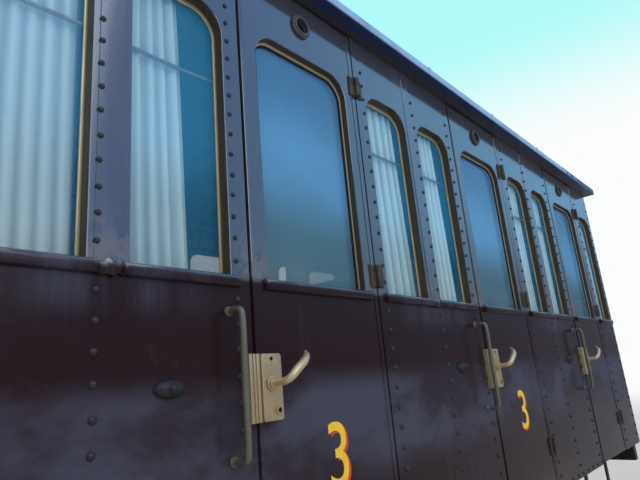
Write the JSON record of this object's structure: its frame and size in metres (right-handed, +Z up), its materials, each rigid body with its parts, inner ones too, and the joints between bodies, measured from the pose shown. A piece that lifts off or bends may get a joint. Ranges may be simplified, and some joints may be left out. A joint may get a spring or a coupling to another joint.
{
  "type": "passenger coach",
  "caption": "Riveted steel railway coach on two bogies, with a hinged door in every bay, end gangway doors, fall plates, buffers and a bench saloon.",
  "frame": {"origin": "under the middle of the coach, level with the lowest points of the wheel flanges", "axes": "+X along the coach, -Y is the side seen in the picture, +Z up"},
  "size_m": [20.96, 3.04, 4.0199],
  "materials": {
    "brown_enamel": "gloss enamel on riveted steel, worn",
    "window_glass": "clear, bluish",
    "curtain_cloth": "plain off-white cloth",
    "roof_paint": "matt, sooty",
    "floor_board": "worn boards",
    "bench_wood": "varnished slats",
    "rack_metal": "satin",
    "hinge_iron": "rusty, painted over",
    "lock_brass": "worn, polished by hands",
    "rail_brass": "pale, worn",
    "frame_black": "matt black with rust and brake dust",
    "buffer_steel": "greased, worn bright at the faces",
    "hook_steel": "forged, oily",
    "step_wood": "weathered boards",
    "wheel_steel": "rusty web, bright tread"
  },
  "bodies": {
    "carbody": {"side_wall_near": "brown_enamel", "side_wall_far": "brown_enamel", "window_panes": "window_glass", "curtains": "curtain_cloth", "roof_crown": "roof_paint", "roof_eaves": "brown_enamel", "roof_ventilators": "roof_paint", "floor": "floor_board", "end_walls": "brown_enamel", "benches": "bench_wood", "luggage_racks": "rack_metal", "hinge_post_straps": "hinge_iron", "lock_keepers": "lock_brass", "grab_rails": "rail_brass", "solebars": "frame_black", "underframe": "frame_black", "headstocks": "frame_black", "buffers": "buffer_steel", "draw_hooks": "hook_steel", "footboards": "step_wood", "step_straps": "frame_black", "underfloor_gear": "frame_black"},
    "door_near_01": {"door_near_01": "brown_enamel"},
    "door_far_01": {"door_far_01": "brown_enamel"},
    "door_near_02": {"door_near_02": "brown_enamel"},
    "door_far_02": {"door_far_02": "brown_enamel"},
    "door_near_03": {"door_near_03": "brown_enamel"},
    "door_far_03": {"door_far_03": "brown_enamel"},
    "door_near_04": {"door_near_04": "brown_enamel"},
    "door_far_04": {"door_far_04": "brown_enamel"},
    "door_near_05": {"door_near_05": "brown_enamel"},
    "door_far_05": {"door_far_05": "brown_enamel"},
    "door_near_06": {"door_near_06": "brown_enamel"},
    "door_far_06": {"door_far_06": "brown_enamel"},
    "door_near_07": {"door_near_07": "brown_enamel"},
    "door_far_07": {"door_far_07": "brown_enamel"},
    "door_near_08": {"door_near_08": "brown_enamel"},
    "door_far_08": {"door_far_08": "brown_enamel"},
    "door_near_09": {"door_near_09": "brown_enamel"},
    "door_far_09": {"door_far_09": "brown_enamel"},
    "door_near_10": {"door_near_10": "brown_enamel"},
    "door_far_10": {"door_far_10": "brown_enamel"},
    "door_near_11": {"door_near_11": "brown_enamel"},
    "door_far_11": {"door_far_11": "brown_enamel"},
    "door_near_12": {"door_near_12": "brown_enamel"},
    "door_far_12": {"door_far_12": "brown_enamel"},
    "end_door_right": {"end_door_right": "brown_enamel"},
    "end_door_left": {"end_door_left": "brown_enamel"},
    "fall_plate_right": {"fall_plate_right": "frame_black"},
    "fall_plate_left": {"fall_plate_left": "frame_black"},
    "wheelset_left_outer": {"wheelset_left_outer": "wheel_steel"},
    "wheelset_left_inner": {"wheelset_left_inner": "wheel_steel"},
    "bogie_left": {"bogie_frame_left": "frame_black", "bogie_suspension_left": "frame_black", "brake_gear_left": "frame_black"},
    "wheelset_right_outer": {"wheelset_right_outer": "wheel_steel"},
    "wheelset_right_inner": {"wheelset_right_inner": "wheel_steel"},
    "bogie_right": {"bogie_frame_right": "frame_black", "bogie_suspension_right": "frame_black", "brake_gear_right": "frame_black"}
  },
  "joints": [
    {"name": "door_near_01_swing", "type": "hinge", "parent": "carbody", "child": "door_near_01", "pos_m": [-8.6715, -1.434, 2.212], "axis": [0, 0, 1], "range_deg": [0, 168]},
    {"name": "door_far_01_swing", "type": "hinge", "parent": "carbody", "child": "door_far_01", "pos_m": [8.6715, 1.434, 2.212], "axis": [0, 0, 1], "range_deg": [0, 168]},
    {"name": "door_near_02_swing", "type": "hinge", "parent": "carbody", "child": "door_near_02", "pos_m": [-7.0315, -1.434, 2.212], "axis": [0, 0, 1], "range_deg": [0, 168]},
    {"name": "door_far_02_swing", "type": "hinge", "parent": "carbody", "child": "door_far_02", "pos_m": [7.0315, 1.434, 2.212], "axis": [0, 0, 1], "range_deg": [0, 168]},
    {"name": "door_near_03_swing", "type": "hinge", "parent": "carbody", "child": "door_near_03", "pos_m": [-5.3915, -1.434, 2.212], "axis": [0, 0, 1], "range_deg": [0, 168]},
    {"name": "door_far_03_swing", "type": "hinge", "parent": "carbody", "child": "door_far_03", "pos_m": [5.3915, 1.434, 2.212], "axis": [0, 0, 1], "range_deg": [0, 168]},
    {"name": "door_near_04_swing", "type": "hinge", "parent": "carbody", "child": "door_near_04", "pos_m": [-3.7515, -1.434, 2.212], "axis": [0, 0, 1], "range_deg": [0, 168]},
    {"name": "door_far_04_swing", "type": "hinge", "parent": "carbody", "child": "door_far_04", "pos_m": [3.7515, 1.434, 2.212], "axis": [0, 0, 1], "range_deg": [0, 168]},
    {"name": "door_near_05_swing", "type": "hinge", "parent": "carbody", "child": "door_near_05", "pos_m": [-2.1115, -1.434, 2.212], "axis": [0, 0, 1], "range_deg": [0, 168]},
    {"name": "door_far_05_swing", "type": "hinge", "parent": "carbody", "child": "door_far_05", "pos_m": [2.1115, 1.434, 2.212], "axis": [0, 0, 1], "range_deg": [0, 168]},
    {"name": "door_near_06_swing", "type": "hinge", "parent": "carbody", "child": "door_near_06", "pos_m": [-0.4715, -1.434, 2.212], "axis": [0, 0, 1], "range_deg": [0, 168]},
    {"name": "door_far_06_swing", "type": "hinge", "parent": "carbody", "child": "door_far_06", "pos_m": [0.4715, 1.434, 2.212], "axis": [0, 0, 1], "range_deg": [0, 168]},
    {"name": "door_near_07_swing", "type": "hinge", "parent": "carbody", "child": "door_near_07", "pos_m": [1.1685, -1.434, 2.212], "axis": [0, 0, 1], "range_deg": [0, 168]},
    {"name": "door_far_07_swing", "type": "hinge", "parent": "carbody", "child": "door_far_07", "pos_m": [-1.1685, 1.434, 2.212], "axis": [0, 0, 1], "range_deg": [0, 168]},
    {"name": "door_near_08_swing", "type": "hinge", "parent": "carbody", "child": "door_near_08", "pos_m": [2.8085, -1.434, 2.212], "axis": [0, 0, 1], "range_deg": [0, 168]},
    {"name": "door_far_08_swing", "type": "hinge", "parent": "carbody", "child": "door_far_08", "pos_m": [-2.8085, 1.434, 2.212], "axis": [0, 0, 1], "range_deg": [0, 168]},
    {"name": "door_near_09_swing", "type": "hinge", "parent": "carbody", "child": "door_near_09", "pos_m": [4.4485, -1.434, 2.212], "axis": [0, 0, 1], "range_deg": [0, 168]},
    {"name": "door_far_09_swing", "type": "hinge", "parent": "carbody", "child": "door_far_09", "pos_m": [-4.4485, 1.434, 2.212], "axis": [0, 0, 1], "range_deg": [0, 168]},
    {"name": "door_near_10_swing", "type": "hinge", "parent": "carbody", "child": "door_near_10", "pos_m": [6.0885, -1.434, 2.212], "axis": [0, 0, 1], "range_deg": [0, 168]},
    {"name": "door_far_10_swing", "type": "hinge", "parent": "carbody", "child": "door_far_10", "pos_m": [-6.0885, 1.434, 2.212], "axis": [0, 0, 1], "range_deg": [0, 168]},
    {"name": "door_near_11_swing", "type": "hinge", "parent": "carbody", "child": "door_near_11", "pos_m": [7.7285, -1.434, 2.212], "axis": [0, 0, 1], "range_deg": [0, 168]},
    {"name": "door_far_11_swing", "type": "hinge", "parent": "carbody", "child": "door_far_11", "pos_m": [-7.7285, 1.434, 2.212], "axis": [0, 0, 1], "range_deg": [0, 168]},
    {"name": "door_near_12_swing", "type": "hinge", "parent": "carbody", "child": "door_near_12", "pos_m": [9.3685, -1.434, 2.212], "axis": [0, 0, 1], "range_deg": [0, 168]},
    {"name": "door_far_12_swing", "type": "hinge", "parent": "carbody", "child": "door_far_12", "pos_m": [-9.3685, 1.434, 2.212], "axis": [0, 0, 1], "range_deg": [0, 168]},
    {"name": "end_door_right_swing", "type": "hinge", "parent": "carbody", "child": "end_door_right", "pos_m": [9.782, 0.3535, 2.212], "axis": [0, 0, -1], "range_deg": [0, 90]},
    {"name": "fall_plate_right_drop", "type": "hinge", "parent": "carbody", "child": "fall_plate_right", "pos_m": [9.89, 0, 1.31], "axis": [0, 1, 0], "range_deg": [0, 85]},
    {"name": "bogie_right_yaw", "type": "hinge", "parent": "carbody", "child": "bogie_right", "pos_m": [7.15, 0, 0.992], "axis": [0, 0, 1], "range_deg": [-4, 4]},
    {"name": "wheelset_right_outer_spin", "type": "hinge", "parent": "bogie_right", "child": "wheelset_right_outer", "pos_m": [8.4, 0, 0.55], "axis": [0, 1, 0], "continuous": true},
    {"name": "wheelset_right_inner_spin", "type": "hinge", "parent": "bogie_right", "child": "wheelset_right_inner", "pos_m": [5.9, 0, 0.55], "axis": [0, 1, 0], "continuous": true},
    {"name": "end_door_left_swing", "type": "hinge", "parent": "carbody", "child": "end_door_left", "pos_m": [-9.782, -0.3535, 2.212], "axis": [0, 0, -1], "range_deg": [0, 90]},
    {"name": "fall_plate_left_drop", "type": "hinge", "parent": "carbody", "child": "fall_plate_left", "pos_m": [-9.89, 0, 1.31], "axis": [0, -1, 0], "range_deg": [0, 85]},
    {"name": "bogie_left_yaw", "type": "hinge", "parent": "carbody", "child": "bogie_left", "pos_m": [-7.15, 0, 0.992], "axis": [0, 0, 1], "range_deg": [-4, 4]},
    {"name": "wheelset_left_outer_spin", "type": "hinge", "parent": "bogie_left", "child": "wheelset_left_outer", "pos_m": [-8.4, 0, 0.55], "axis": [0, 1, 0], "continuous": true},
    {"name": "wheelset_left_inner_spin", "type": "hinge", "parent": "bogie_left", "child": "wheelset_left_inner", "pos_m": [-5.9, 0, 0.55], "axis": [0, 1, 0], "continuous": true}
  ]
}
